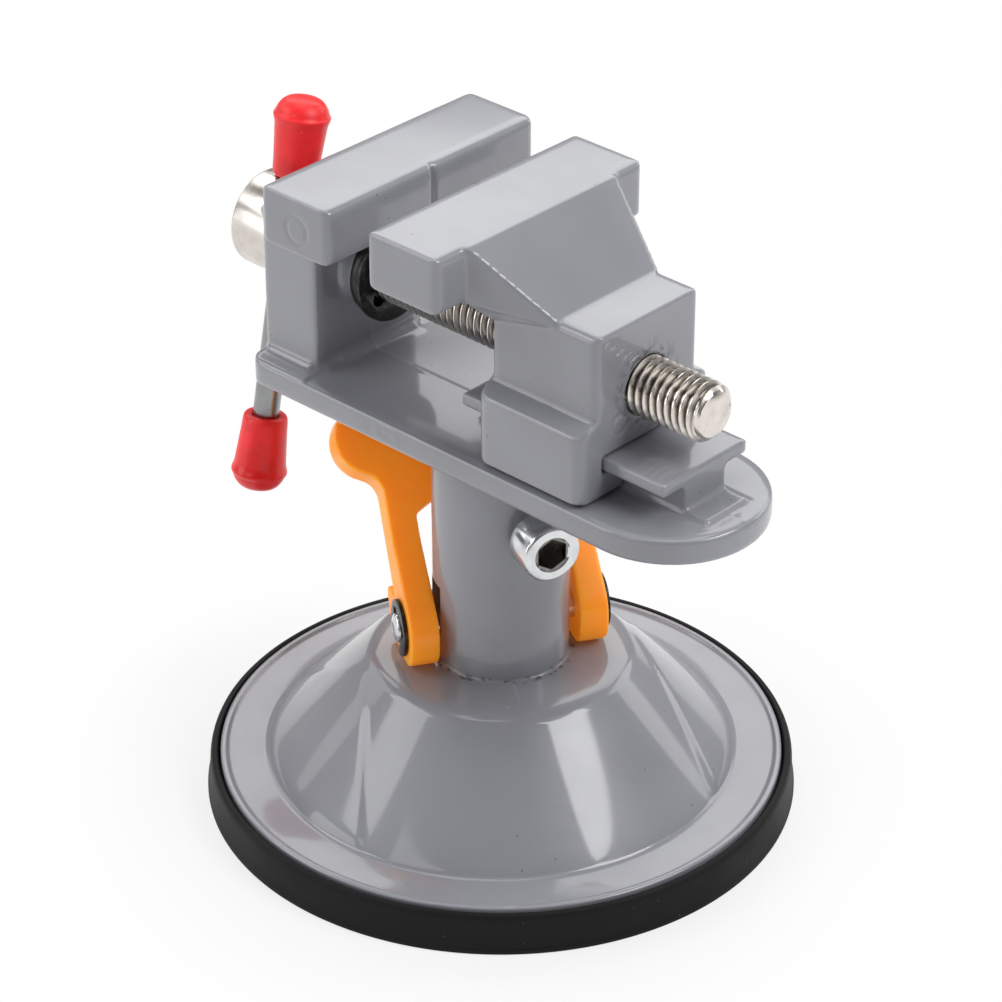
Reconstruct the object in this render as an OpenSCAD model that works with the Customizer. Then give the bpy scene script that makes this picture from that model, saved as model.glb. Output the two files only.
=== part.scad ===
// Suction base vise: a swivelling two-jaw head on a post, held down by a lever-locked rubber cup.
// Origin on the post's axis, on the face of the cup that rests on the bench. +Z up.
// +X runs along the lead screw, towards its free end. +Y runs along the jaws.

/* [Suction base] */
// Outer diameter of the rubber cup at the bench
cup_d = 101.6; // [90:0.1:120]
// Height of the rubber rim round the flange
cup_rim_h = 7.4; // [6:0.1:9]
// Thickness of the rubber under the flange
cup_seat_t = 4.8; // [4:0.1:5.5]
// Thickness of the rubber under the steel plate
cup_web_t = 3; // [2.4:0.1:3.6]
// Width of the rubber rim beside the flange
cup_rim_w = 2.4; // [2:0.1:3]
// Thickness of the flange
flange_t = 2.4; // [2:0.1:3]
// Diameter of the cone where it meets the flange
cone_base_d = 80.6; // [74:0.1:86]
// Diameter of the flat shoulder on top of the cone
cone_top_d = 39.4; // [37:0.1:42]
// Height of that shoulder above the bench
cone_top_z = 27; // [25:0.1:29]
// Wall of the cone
cone_wall = 2.8; // [2.4:0.1:3.4]
// Outer diameter of the post
post_d = 23.2; // [22.4:0.1:23.8]
// Height of the top of the post above the bench
post_top_z = 68; // [66.5:0.1:72]
// Diameter of the swivel bore in the post
stem_bore_d = 16.1; // [15:0.1:17]
// Length of the swivel bore
stem_bore_l = 21.2; // [20:0.1:22]

/* [Lever lock] */
// Heading of the lever pin, from +X towards +Y
pin_heading = 58; // [45:1:75]
// Height of the pin while the cup is free
pin_z = 33.3; // [33:0.1:34]
// Diameter of the pin
pin_d = 5; // [4.5:0.1:5.2]
// Distance of the pin's clips from the post's axis
clip_s = 17.6; // [17.5:0.1:18.4]
// Thickness of each fork arm
arm_t = 5; // [4.5:0.1:5.2]
// Lean of the lever from the vertical while the cup is free
lever_lean = 42; // [38:1:44]
// Travel of the lever from free to locked
lever_turn = 68; // [50:1:68]
// Distance that the locked lever lifts the middle of the cup
cup_lift = 4; // [3:0.1:4.2]
// Overall width of the lever's cross handle
handle_w = 48; // [44:0.5:50]
// Width of the cross handle along the lever
handle_h = 13; // [11:0.5:13.5]
// Distance from the pin to the middle of the cross handle
handle_reach = 32.3; // [31:0.1:33]
// Reach of the arch between the fork's arms, where it springs from them
arch_reach = 18.2; // [17:0.1:20]
// Thickness of the lever's upper part
lever_t = 6.4; // [5.6:0.1:7]
// Diameter of the pull stud
stud_d = 12; // [11:0.1:13]

/* [Head] */
// Thickness of the head's plate
plate_t = 5.1; // [4.5:0.1:5.6]
// Width of the plate
plate_w = 32.6; // [31.6:0.1:36]
// Distance from the swivel axis to the plate's square end
plate_back = 43.3; // [42:0.1:45]
// Distance from the swivel axis to the tip of the plate's round end
plate_front = 52.8; // [50:0.1:56]
// Diameter of the swivel stem
stem_d = 16; // [14.9:0.1:16.9]
// Height of the lead screw above the plate
screw_rise = 16.4; // [16:0.1:17.4]
// Height of the jaws' top above the plate
jaw_rise = 39.1; // [38:0.1:41]
// Length of the jaws
jaw_l = 48; // [44:0.5:52]
// Height of the jaw bars
jaw_h = 9.9; // [9:0.1:10.5]
// Thickness of each jaw bar
jaw_t = 15.5; // [14:0.1:17]
// Distance from the swivel axis to the fixed jaw's gripping face
fixed_face = 14.8; // [14:0.1:16]
// Opening between the jaws as they stand
jaw_gap = 8.3; // [8.2:0.1:10]
// Width of the fixed jaw's column and of the moving jaw's block
block_w = 24.2; // [23:0.1:25]
// Length of the moving jaw's block
block_l = 22.4; // [21:0.1:24]
// Height of the block's top below the jaws' top
block_drop = 10.1; // [9.5:0.1:11]
// Width of the moving jaw's skirt
skirt_w = 31; // [30:0.1:31.4]
// Height of the skirt
skirt_h = 12; // [11.4:0.1:12.6]
// Width of the slide rail's head
rail_w = 20; // [19:0.1:21]
// Width of the slide rail's foot
rail_foot_w = 10; // [9:0.1:11]
// Height of the slide rail above the plate
rail_h = 7.2; // [7:0.1:7.6]
// Thickness of the slide rail's lips
rail_lip = 2.4; // [2:0.1:2.8]

/* [Screw and handle] */
// Diameter of the lead screw over its thread
screw_d = 10; // [9:0.1:10.2]
// Distance from the swivel axis to the lead screw's free end
screw_front = 45.3; // [43:0.1:50]
// Diameter of the screw's head
knob_d = 17; // [16:0.1:18]
// Length of the screw's head
knob_l = 11; // [10.6:0.1:13]
// Diameter of the cross bar
bar_d = 4.6; // [4:0.1:5]
// Length of the cross bar with its caps
bar_l = 71.3; // [68:0.1:78]
// Tilt of the cross bar from the vertical as it hangs
bar_tilt = 11.5; // [0:0.5:20]
// Length of each cap on the cross bar
cap_l = 13.9; // [13:0.1:16]
// Diameter of the clamp screw's thread
clamp_d = 6; // [5.5:0.1:6.2]
// Heading of the clamp screw, from +X towards +Y
clamp_heading = -21; // [-26:0.5:-18]
// Height of the clamp screw below the top of the post
clamp_drop = 12.3; // [11.5:0.1:13]

/* [Clearances] */
// Running clearance between a shaft and its bore, on the radius
run = 0.05; // [0.02:0.01:0.1]
// Clearance between parts that pass each other
gap = 0.3; // [0.2:0.05:0.35]

/* [Hidden] */
$fn = 64;
past = 1;
turn_step = 4;
flange_z = cup_seat_t + flange_t;
flange_r = cup_d / 2 - cup_rim_w - gap;
cup_draft = 0.6;
cup_groove_w = 1.2;
cup_plate_r = 18;
cup_plate_t = 1.8;
stud_foot_r = 8.5;
stud_foot_t = 1.6;
stud_top_z = pin_z + 7.3;
stud_bore_r = stud_d / 2 + 2 * run;

// Lever: the cam's reach grows evenly with the turn, so the pin rises evenly as well.
cam_r = pin_z - cone_top_z - gap;
cam_rate = cup_lift / (lever_turn * PI / 180);
boss_r = 6.6;
arm_s = clip_s - arm_t / 2 - 0.4;
arm_in = arm_s - arm_t / 2;
arch_r = 19;
arch_d = arch_reach - sqrt(arch_r * arch_r - arm_in * arm_in);
arch_turn = acos(arm_in / arch_r);
slot_w = pin_d + 2 * gap;
slot_top = pin_z + cup_lift + slot_w / 2 + 1.7;
pin_l = 2 * (clip_s + 1.2);
pin_clip_t = 0.7;
pin_clip_r = 4.9;

// Head
plate_z = post_top_z + gap;
plate_top = plate_z + plate_t;
round_x = plate_front - plate_w / 2;
screw_z = plate_top + screw_rise;
jaw_top = plate_top + jaw_rise;
jaw_low = jaw_top - jaw_h;
fixed_back = -fixed_face - jaw_t;
moving_face = -fixed_face + jaw_gap;
block_back = moving_face + jaw_t;
block_front = block_back + block_l;
block_top = jaw_top - block_drop;
gusset_w = 34.9;
gusset_foot = screw_z + 8.2;
gusset_l = 13.8;
rail_top = plate_top + rail_h;
rail_back = block_back - (jaw_gap - gap) - gap;
rail_front = 43.8;
rail_pad = 4.6;
skirt_low = plate_top + 0.4;
skirt_top = skirt_low + skirt_h;
shoulder_h = 1.9;
stem_low = post_top_z - stem_bore_l + 0.4;
stem_groove_h = 8;
edge = 1.4;

// Screw
bore_d = screw_d + 4 * run;
washer_t = 1.8;
washer_r = 8;
screw_clip_t = 1;
screw_clip_r = 8.6;
column_front = fixed_back + 0.2;
nose_l = 3.4;
nose_r = 6.8;
washer_x = column_front + nose_l + 0.1;
screw_clip_x = washer_x + washer_t + 0.1;
knob_front = -plate_back - gap;
knob_back = knob_front - knob_l;
spigot_r = screw_d / 2 - 1;
spigot_l = 2.8;
bar_x = knob_front - knob_l / 2;
bar_up = knob_d / 2 + gap + cap_l;
bar_down = bar_l - bar_up;
cap_wall = 2.2;
cap_rim_r = 3.95;
cap_ring_r = 5;
cap_ring_back = 3.3;

// Clamp screw
clamp_z = post_top_z - clamp_drop;
clamp_head_d = clamp_d / 0.6;
clamp_tip = stem_d / 2 - 0.7;
clamp_under = 13.3;
clamp_key = clamp_d / 1.2;

paint = [0.60, 0.60, 0.62];
rubber = [0.08, 0.08, 0.08];
orange = [0.96, 0.55, 0.08];
red = [0.85, 0.12, 0.12];
steel = [0.72, 0.70, 0.66];
zinc = [0.78, 0.79, 0.80];
black = [0.12, 0.12, 0.12];

// Points on an arc round c, from angle a to angle b.
function arc(c, r, a, b, n) = [
    for (i = [0:n]) let (t = a + (b - a) * i / n) c + r * [cos(t), sin(t)]
];

// A point of the cam whose flat follower stands at angle t from straight down.
function cam_point(t) =
    let (h = cam_r + cam_rate * t * PI / 180)
    [h * sin(t) + cam_rate * cos(t), -h * cos(t) + cam_rate * sin(t)];

// Extrudes a Y, Z outline along X.
module along_x(from, to) {
    translate([from, 0, 0])
        rotate([90, 0, 90])
            linear_extrude(to - from)
                children();
}

// Extrudes an X, Z outline along Y, to both sides.
module along_y(length) {
    rotate([90, 0, 0])
        linear_extrude(length, center = true)
            children();
}

// Turns an outline of radius and X about the X axis.
module turned_x() {
    rotate([0, 90, 0])
        rotate_extrude($fn = 96)
            children();
}

module round_rect(w, h, r) {
    square([w - 2 * r, h], center = true);
    square([w, h - 2 * r], center = true);
    for (sx = [-1, 1], sy = [-1, 1])
        translate([sx * (w / 2 - r), sy * (h / 2 - r)])
            circle(r = r, $fn = 32);
}

// The concave filler of a corner whose walls run along +X and +Y.
module cove(r) {
    difference() {
        translate([-0.1, -0.1])
            square(r + 0.1);
        translate([r, r])
            circle(r = r, $fn = 32);
    }
}

// A block with its edges rounded in two directions.
module soft_bar(x0, x1, w, z0, z1, r) {
    intersection() {
        translate([(x0 + x1) / 2, 0, (z0 + z1) / 2])
            along_y(w)
                round_rect(x1 - x0, z1 - z0, r);
        translate([(x0 + x1) / 2, 0, z0 - past])
            linear_extrude(z1 - z0 + 2 * past)
                round_rect(x1 - x0, w, r);
    }
}

module e_clip(r_in, r_out, t) {
    linear_extrude(t)
        difference() {
            circle(r = r_out);
            circle(r = r_in);
            translate([0, -r_in * 0.8])
                square([r_out + past, 1.6 * r_in]);
            for (a = [120, -120])
                rotate(a)
                    translate([r_in + 0.25 * (r_out - r_in), 0])
                        circle(r = 0.32 * (r_out - r_in), $fn = 24);
        }
}

module base_housing() {
    slope = atan2(cone_top_z - flange_z, (cone_base_d - cone_top_d) / 2);
    foot_r = 1.5;
    foot_x = cone_base_d / 2 + foot_r * tan(slope / 2);
    top_r = 1.2;
    top_x = cone_top_d / 2 - top_r * tan(slope / 2);
    outline = concat(
        [[stem_bore_d / 2, post_top_z], [post_d / 2 - 0.8, post_top_z], [post_d / 2, post_top_z - 0.8]],
        arc([post_d / 2 + 1, cone_top_z + 1], 1, 180, 270, 3),
        arc([top_x, cone_top_z - top_r], top_r, 90, 90 - slope, 3),
        arc([foot_x, flange_z + foot_r], foot_r, 270 - slope, 270, 3),
        arc([flange_r - 1, flange_z - 1], 1, 90, 0, 3),
        [
            [flange_r, cup_seat_t], [cone_base_d / 2 - cone_wall, cup_seat_t],
            [cone_top_d / 2 - cone_wall, cone_top_z - cone_wall],
            [stud_bore_r, cone_top_z - cone_wall],
            [stud_bore_r, post_top_z - stem_bore_l], [stem_bore_d / 2, post_top_z - stem_bore_l]
        ]
    );
    color(paint)
        difference() {
            rotate_extrude($fn = 128)
                polygon(outline);
            rotate([0, 0, pin_heading])
                along_x(-post_d, post_d)
                    translate([0, pin_z])
                        circle(d = slot_w);
            rotate([0, 0, pin_heading])
                along_x(-post_d, post_d)
                    translate([-slot_w / 2, pin_z])
                        square([slot_w, slot_top - pin_z]);
            rotate([0, 0, clamp_heading])
                translate([stem_bore_d / 2 - past, 0, clamp_z])
                    rotate([0, 90, 0])
                        cylinder(d = clamp_d + 2 * run, h = post_d / 2);
        }
}

module suction_cup() {
    outer = cup_d / 2;
    rim_in = outer - cup_rim_w;
    outline = [
        [0, 0], [outer - 9, 0], [outer - 9, 0.6], [outer - 9 + cup_groove_w, 0.6],
        [outer - 9 + cup_groove_w, 0], [outer - 0.4, 0], [outer, 0.4],
        [outer - cup_draft, cup_rim_h - 0.4], [outer - cup_draft - 0.4, cup_rim_h],
        [rim_in + 0.4, cup_rim_h], [rim_in, cup_rim_h - 0.4], [rim_in, cup_seat_t],
        [cone_base_d / 2 - 4, cup_seat_t], [cone_base_d / 2 - 8, cup_web_t], [0, cup_web_t]
    ];
    color(rubber)
        rotate_extrude($fn = 128)
            polygon(outline);
}

module cup_plate() {
    color(steel)
        translate([0, 0, cup_web_t + gap])
            cylinder(r = cup_plate_r, h = cup_plate_t - gap);
}

module pull_stud() {
    low = cup_web_t + cup_plate_t;
    outline = [
        [0, low], [stud_foot_r, low], [stud_foot_r, low + stud_foot_t], [stud_d / 2, low + stud_foot_t],
        [stud_d / 2, stud_top_z - 1], [stud_d / 2 - 1, stud_top_z], [0, stud_top_z]
    ];
    color(steel)
        difference() {
            rotate_extrude()
                polygon(outline);
            rotate([0, 0, pin_heading])
                translate([0, 0, pin_z])
                    rotate([0, 90, 0])
                        cylinder(d = pin_d + 2 * run, h = 2 * stud_d, center = true);
        }
}

// A point of the leaning lever, by its distance behind the lever's middle line and its reach from the pin.
function leaned(back, reach) = [
    back * cos(lever_lean) + reach * sin(lever_lean),
    reach * cos(lever_lean) - back * sin(lever_lean)
];

// Side view, with the pin at the origin: the cam below, its end stop behind, and the leaning handle above.
module lever_side() {
    top = handle_reach + handle_h / 2;
    back = lever_t / 2 - 0.7;
    front = lever_t - back;
    corner_r = 5;
    stop = cam_point(lever_turn) + 1.2 * [cos(lever_turn), sin(lever_turn)];
    polygon(concat(
        [for (t = [0:turn_step:lever_turn]) cam_point(t)],
        [stop, [stop[0] - 0.2, 1.4], [stop[0] - 0.8, 2], leaned(back, 5.4)],
        [leaned(back, top - 1.6), leaned(back - 0.5, top - 0.5), leaned(back - 1.6, top)],
        [leaned(1.6 - front, top), leaned(0.5 - front, top - 0.5), leaned(-front, top - 1.6)],
        [leaned(-front, 14)],
        arc([0, 0], boss_r, 90 + lever_lean + 6, 180, 6),
        arc([corner_r - boss_r, corner_r - cam_r], corner_r, 180, 270, 8)
    ));
}

// Front view, square to the handle: two arms, the arch between them and the cross handle.
module lever_front() {
    end_r = handle_h / 2;
    end_s = handle_w / 2 - end_r;
    arm_out = arm_s + arm_t / 2;
    cove_r = 4;
    cove_s = arm_out + cove_r;
    cove_d = handle_reach - sqrt(pow(cove_r + end_r, 2) - pow(cove_s - end_s, 2));
    turn = atan2(handle_reach - cove_d, end_s - cove_s);
    half = concat(
        [[arm_in, -handle_reach], [arm_out, -handle_reach]],
        arc([cove_s, cove_d], cove_r, 180, turn, 6),
        arc([end_s, handle_reach], end_r, turn - 180, 90, 14)
    );
    polygon(concat(
        half,
        [for (i = [len(half) - 1:-1:0]) [-half[i][0], half[i][1]]],
        arc([0, arch_d], arch_r, 180 - arch_turn, arch_turn, 12)
    ));
}

module lever() {
    color(orange)
        translate([0, 0, pin_z])
            rotate([0, 0, pin_heading])
                difference() {
                    intersection() {
                        along_x(-handle_w, handle_w)
                            lever_side();
                        rotate([-lever_lean, 0, 0])
                            along_y(2 * handle_reach)
                                lever_front();
                    }
                    rotate([0, 90, 0])
                        cylinder(d = pin_d + 2 * run, h = 2 * handle_w, center = true);
                }
}

module lever_pin() {
    r = pin_d / 2;
    half = pin_l / 2;
    neck_r = r - 0.5;
    neck = clip_s - pin_clip_t / 2 - 0.05;
    neck_end = clip_s + pin_clip_t / 2 + 0.05;
    color(zinc)
        translate([0, 0, pin_z])
            rotate([0, 0, pin_heading])
                turned_x()
                    polygon([
                        [0, -half], [r - 0.5, -half], [r, 0.5 - half], [r, -neck_end], [neck_r, -neck_end],
                        [neck_r, -neck], [r, -neck], [r, neck], [neck_r, neck], [neck_r, neck_end],
                        [r, neck_end], [r, half - 0.5], [r - 0.5, half], [0, half]
                    ]);
}

// side is -1 at the photographed end of the pin and 1 at the other.
module pin_clip(side) {
    color(black)
        translate([0, 0, pin_z])
            rotate([0, 0, pin_heading])
                translate([side * clip_s - pin_clip_t / 2, 0, 0])
                    rotate([90, 0, 90])
                        rotate(-75)
                            e_clip(pin_d / 2 - 0.45, pin_clip_r, pin_clip_t);
}

module pin_clip_near() {
    pin_clip(-1);
}

module pin_clip_far() {
    pin_clip(1);
}

// The wedge that carries a jaw bar on its block: wide and tall at the bar, flush with the block at its foot.
module gusset(bar_x, foot_x, foot_z, top) {
    lean = (foot_x > bar_x) ? 1 : -1;
    hull() {
        along_x(min(bar_x, bar_x - lean * 0.5), max(bar_x, bar_x - lean * 0.5))
            polygon([
                [-gusset_w / 2, top], [-gusset_w / 2, jaw_low + 0.2], [-block_w / 2, gusset_foot],
                [block_w / 2, gusset_foot], [gusset_w / 2, jaw_low + 0.2], [gusset_w / 2, top]
            ]);
        along_x(min(foot_x, foot_x + lean * 0.01), max(foot_x, foot_x + lean * 0.01))
            translate([-block_w / 2, foot_z - 1])
                square([block_w, 1]);
    }
}

module rail_profile(grow) {
    translate([-rail_w / 2 - grow, rail_top - rail_lip - grow])
        square([rail_w + 2 * grow, rail_lip + 2 * grow]);
    translate([-rail_foot_w / 2 - grow, plate_top - past])
        square([rail_foot_w + 2 * grow, rail_h]);
}

module swivel_stem() {
    r = stem_d / 2;
    low = clamp_z - stem_groove_h / 2;
    high = clamp_z + stem_groove_h / 2;
    rotate_extrude()
        polygon([
            [0, stem_low], [r - 0.8, stem_low], [r, stem_low + 0.8], [r, low], [r - 1, low + 1],
            [r - 1, high - 1], [r, high], [r, plate_z + past], [0, plate_z + past]
        ]);
}

module vise_body() {
    column_x = (column_front - plate_back) / 2;
    column_l = column_front + plate_back;
    column_z = jaw_top - 13;
    cove_r = 2.2;
    color(paint)
        difference() {
            union() {
                // plate with a rounded upper edge
                intersection() {
                    along_x(-plate_back, round_x)
                        translate([0, plate_z + plate_t / 2])
                            round_rect(plate_w, plate_t, 1.2);
                    translate([0, 0, plate_z - past])
                        linear_extrude(plate_t + 2 * past)
                            translate([round_x / 2 - plate_back / 2 + 5, 0])
                                round_rect(round_x + plate_back + 10, plate_w, 3.5);
                }
                translate([round_x, 0, plate_z + plate_t / 2])
                    rotate_extrude()
                        intersection() {
                            round_rect(plate_w, plate_t, 1.2);
                            translate([0, -plate_t])
                                square([plate_w, 2 * plate_t]);
                        }
                swivel_stem();
                // column
                translate([column_x, 0, plate_top - past])
                    linear_extrude(column_z - plate_top + past)
                        round_rect(column_l, block_w, edge);
                for (side = [0, 1])
                    mirror([0, side, 0])
                        along_x(-plate_back + edge, column_front - edge)
                            translate([block_w / 2, plate_top])
                                cove(cove_r);
                translate([column_front, 0, plate_top])
                    along_y(block_w - 2 * edge)
                        cove(cove_r);
                // nose that the thrust washer bears on
                translate([column_front - past, 0, screw_z])
                    rotate([0, 90, 0])
                        cylinder(r = nose_r, h = nose_l + past);
                gusset(fixed_back, -plate_back, column_z, jaw_top - 0.6);
                soft_bar(fixed_back, -fixed_face, jaw_l, jaw_low, jaw_top, edge);
                // slide rail
                along_x(rail_back, rail_front)
                    rail_profile(0);
                translate([rail_front - past, -rail_foot_w / 2, plate_top - past])
                    cube([rail_pad + past, rail_foot_w, past + 0.6]);
            }
            translate([0, 0, screw_z])
                rotate([0, 90, 0])
                    cylinder(d = bore_d, h = 4 * plate_back, center = true);
            // groove down the middle of the gripping face
            translate([-fixed_face, 0, jaw_low - past])
                rotate([0, 0, 45])
                    translate([-0.35, -0.35, 0])
                        cube([0.7, 0.7, jaw_h + 2 * past]);
        }
}

module movable_jaw() {
    block_x = (block_back + block_front) / 2;
    color(paint)
        difference() {
            union() {
                soft_bar(moving_face, block_back, jaw_l, jaw_low, jaw_top, edge);
                gusset(block_back, block_back + gusset_l, block_top, jaw_top);
                intersection() {
                    along_x(block_back - past, block_front + past)
                        union() {
                            translate([0, block_top - 10])
                                round_rect(block_w, 20, edge);
                            translate([-block_w / 2, skirt_low + 1])
                                square([block_w, block_top - skirt_low - 6]);
                        }
                    translate([block_x, 0, skirt_low])
                        linear_extrude(jaw_rise)
                            round_rect(block_l, block_w, edge);
                }
                intersection() {
                    along_x(block_back - past, block_front + past)
                        polygon([
                            [-skirt_w / 2, skirt_low], [skirt_w / 2, skirt_low],
                            [skirt_w / 2, skirt_top], [block_w / 2 - 0.1, skirt_top + shoulder_h],
                            [0.1 - block_w / 2, skirt_top + shoulder_h], [-skirt_w / 2, skirt_top]
                        ]);
                    translate([block_x, 0, skirt_low - past])
                        linear_extrude(jaw_rise)
                            round_rect(block_l, skirt_w, 2);
                }
            }
            along_x(block_back - past, block_front + past)
                rail_profile(gap);
            translate([0, 0, screw_z])
                rotate([0, 90, 0])
                    cylinder(d = screw_d + 2 * run, h = 4 * block_front, center = true);
            translate([moving_face, 0, jaw_low - past])
                rotate([0, 0, 45])
                    translate([-0.35, -0.35, 0])
                        cube([0.7, 0.7, jaw_h + 2 * past]);
        }
}

module lead_screw() {
    r = screw_d / 2;
    neck = screw_clip_x - 0.05;
    neck_end = screw_clip_x + screw_clip_t + 0.05;
    color(steel)
        translate([0, 0, screw_z])
            turned_x()
                polygon([
                    [0, knob_front - spigot_l], [spigot_r, knob_front - spigot_l], [spigot_r, knob_front],
                    [r, knob_front], [r, neck], [r - 1, neck], [r - 1, neck_end], [r, neck_end],
                    [r, screw_front - 1.2], [r - 1.2, screw_front], [0, screw_front]
                ]);
}

module screw_head() {
    r = knob_d / 2;
    color(steel)
        difference() {
            translate([0, 0, screw_z])
                turned_x()
                    polygon([
                        [0, knob_back], [r - 0.6, knob_back], [r, knob_back + 0.6], [r, knob_front - 0.6],
                        [r - 0.6, knob_front], [spigot_r + 0.01, knob_front],
                        [spigot_r + 0.01, knob_front - spigot_l], [0, knob_front - spigot_l]
                    ]);
            translate([bar_x, 0, screw_z])
                rotate([-bar_tilt, 0, 0])
                    cylinder(d = bar_d + 4 * run, h = 2 * knob_d, center = true);
        }
}

module thrust_washer() {
    color(black)
        translate([washer_x, 0, screw_z])
            rotate([90, 0, 90])
                linear_extrude(washer_t)
                    difference() {
                        circle(r = washer_r);
                        circle(r = screw_d / 2 + 0.1);
                    }
}

module screw_clip() {
    color(black)
        translate([screw_clip_x, 0, screw_z])
            rotate([90, 0, 90])
                rotate(100)
                    e_clip(screw_d / 2 - 0.9, screw_clip_r, screw_clip_t);
}

// The frame of the cross bar: its own Z runs up the bar, and 0 is on the screw's axis.
module on_bar() {
    translate([bar_x, 0, screw_z])
        rotate([-bar_tilt, 0, 0])
            children();
}

module tommy_bar() {
    color(zinc)
        on_bar()
            translate([0, 0, cap_wall - bar_down])
                cylinder(d = bar_d, h = bar_l - 2 * cap_wall);
}

// A moulded cap with its mouth at 0 and its domed end at cap_l.
module bar_cap() {
    inner = bar_d / 2 + 0.05;
    dome = cap_l - cap_ring_back;
    color(red)
        rotate_extrude($fn = 48)
            polygon(concat(
                [[inner, 0], [cap_rim_r - 0.3, 0], [cap_rim_r, 0.3], [cap_ring_r - 0.25, dome - 0.5]],
                [[cap_ring_r, dome]],
                [for (t = [0:15:90]) [(cap_ring_r - 0.3) * cos(t), dome + 0.3 + (cap_ring_back - 0.3) * sin(t)]],
                [[0, cap_l - cap_wall], [inner, cap_l - cap_wall]]
            ));
}

module bar_cap_lower() {
    on_bar()
        translate([0, 0, cap_l - bar_down])
            mirror([0, 0, 1])
                bar_cap();
}

module bar_cap_upper() {
    on_bar()
        translate([0, 0, bar_up - cap_l])
            bar_cap();
}

module clamp_screw() {
    head_r = clamp_head_d / 2;
    shank_r = clamp_d / 2;
    end = clamp_under + clamp_d;
    color(zinc)
        translate([0, 0, clamp_z])
            rotate([0, 0, clamp_heading])
                difference() {
                    turned_x()
                        polygon([
                            [0, clamp_tip], [shank_r - 0.6, clamp_tip], [shank_r, clamp_tip + 0.6],
                            [shank_r, clamp_under], [head_r, clamp_under], [head_r, end - 0.5],
                            [head_r - 0.5, end], [0, end]
                        ]);
                    translate([end - 0.5 * clamp_d, 0, 0])
                        rotate([0, 90, 0])
                            rotate(8)
                                cylinder(d = clamp_key / cos(30), h = clamp_d, $fn = 6);
                }
}

base_housing();
suction_cup();
cup_plate();
pull_stud();
lever();
lever_pin();
pin_clip_near();
pin_clip_far();
vise_body();
clamp_screw();
movable_jaw();
lead_screw();
screw_head();
thrust_washer();
screw_clip();
tommy_bar();
bar_cap_lower();
bar_cap_upper();
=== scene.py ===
"""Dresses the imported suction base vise: detailed meshes, finishes, stage and camera.

Every length is in metres, in the part's own frame: X along the lead screw, Y along the jaws, Z up the post.
"""

from math import atan2, cos, hypot, pi, radians, sin

import bmesh
import bpy
from bpy.props import FloatProperty, FloatVectorProperty, IntProperty, PointerProperty
from bpy.types import Operator, Panel, PropertyGroup
from mathutils import Matrix, Vector
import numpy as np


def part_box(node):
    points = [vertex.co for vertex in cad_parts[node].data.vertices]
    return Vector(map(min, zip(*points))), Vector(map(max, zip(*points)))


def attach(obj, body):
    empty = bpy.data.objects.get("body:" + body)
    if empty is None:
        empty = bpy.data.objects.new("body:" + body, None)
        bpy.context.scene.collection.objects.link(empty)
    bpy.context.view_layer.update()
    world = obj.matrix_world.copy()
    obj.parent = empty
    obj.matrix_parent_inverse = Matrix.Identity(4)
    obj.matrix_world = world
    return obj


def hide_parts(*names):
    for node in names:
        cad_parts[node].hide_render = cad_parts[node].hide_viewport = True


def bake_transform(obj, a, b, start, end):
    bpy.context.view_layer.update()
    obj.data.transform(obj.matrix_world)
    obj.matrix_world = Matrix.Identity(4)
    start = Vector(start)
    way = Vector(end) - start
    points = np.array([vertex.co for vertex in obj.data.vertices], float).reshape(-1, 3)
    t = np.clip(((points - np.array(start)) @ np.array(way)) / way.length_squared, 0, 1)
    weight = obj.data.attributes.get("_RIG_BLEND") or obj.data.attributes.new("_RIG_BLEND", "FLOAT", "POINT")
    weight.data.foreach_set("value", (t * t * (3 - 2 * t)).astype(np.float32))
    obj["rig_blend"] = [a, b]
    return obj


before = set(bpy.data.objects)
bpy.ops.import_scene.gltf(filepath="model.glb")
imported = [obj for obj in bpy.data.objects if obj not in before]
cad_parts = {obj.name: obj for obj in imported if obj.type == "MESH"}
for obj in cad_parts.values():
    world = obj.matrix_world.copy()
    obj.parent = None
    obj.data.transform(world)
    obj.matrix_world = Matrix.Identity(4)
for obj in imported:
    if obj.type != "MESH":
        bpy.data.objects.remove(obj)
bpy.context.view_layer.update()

bl_info = {
    "name": "Suction Base Vise",
    "version": (1, 0, 0),
    "blender": (4, 5, 0),
    "location": "3D View > Sidebar > Vise",
    "description": "Builds the meshes, finishes and stage of a small vise on a suction base",
    "category": "Object",
}

MM = 0.001
X_AXIS = Vector((1, 0, 0))


def heading(degrees):
    """The level direction that lies this far from +X, towards +Y."""
    angle = radians(degrees)
    return Vector((cos(angle), sin(angle), 0))


def middle(node):
    """The middle of a solid's box."""
    low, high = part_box(node)
    return (low + high) / 2


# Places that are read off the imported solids.
SCREW_AXIS = Vector((0, 0, middle("lead_screw").z))
SCREW_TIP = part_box("lead_screw")[1].x
KNOB_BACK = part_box("screw_head")[0].x
KNOB_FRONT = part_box("screw_head")[1].x
COLUMN_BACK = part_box("vise_body")[0].x
PLATE_LOW = 68.3 * MM
PLATE_TOP = 73.4 * MM
JAW_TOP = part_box("vise_body")[1].z
FIXED_FACE = -14.8 * MM
MOVING_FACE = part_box("movable_jaw")[0].x
BLOCK_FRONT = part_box("movable_jaw")[1].x
POST_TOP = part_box("base_housing")[1].z
PIN_HEADING = 58
PIN_WAY = heading(PIN_HEADING)
PIN_CENTRE = middle("lever_pin")
CLAMP_WAY = heading(-21)
CLAMP_Z = middle("clamp_screw").z
SLOT_HALF = 2.8 * MM
SLOT_TOP = 41.8 * MM
BAR_TILT = radians(11.5)
BAR_WAY = Vector((0, sin(BAR_TILT), cos(BAR_TILT)))
BAR_CENTRE = Vector((middle("tommy_bar").x, 0, SCREW_AXIS.z))
BAR_UP = 22.7 * MM
BAR_DOWN = 48.6 * MM
CAP_LENGTH = 13.9 * MM
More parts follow.
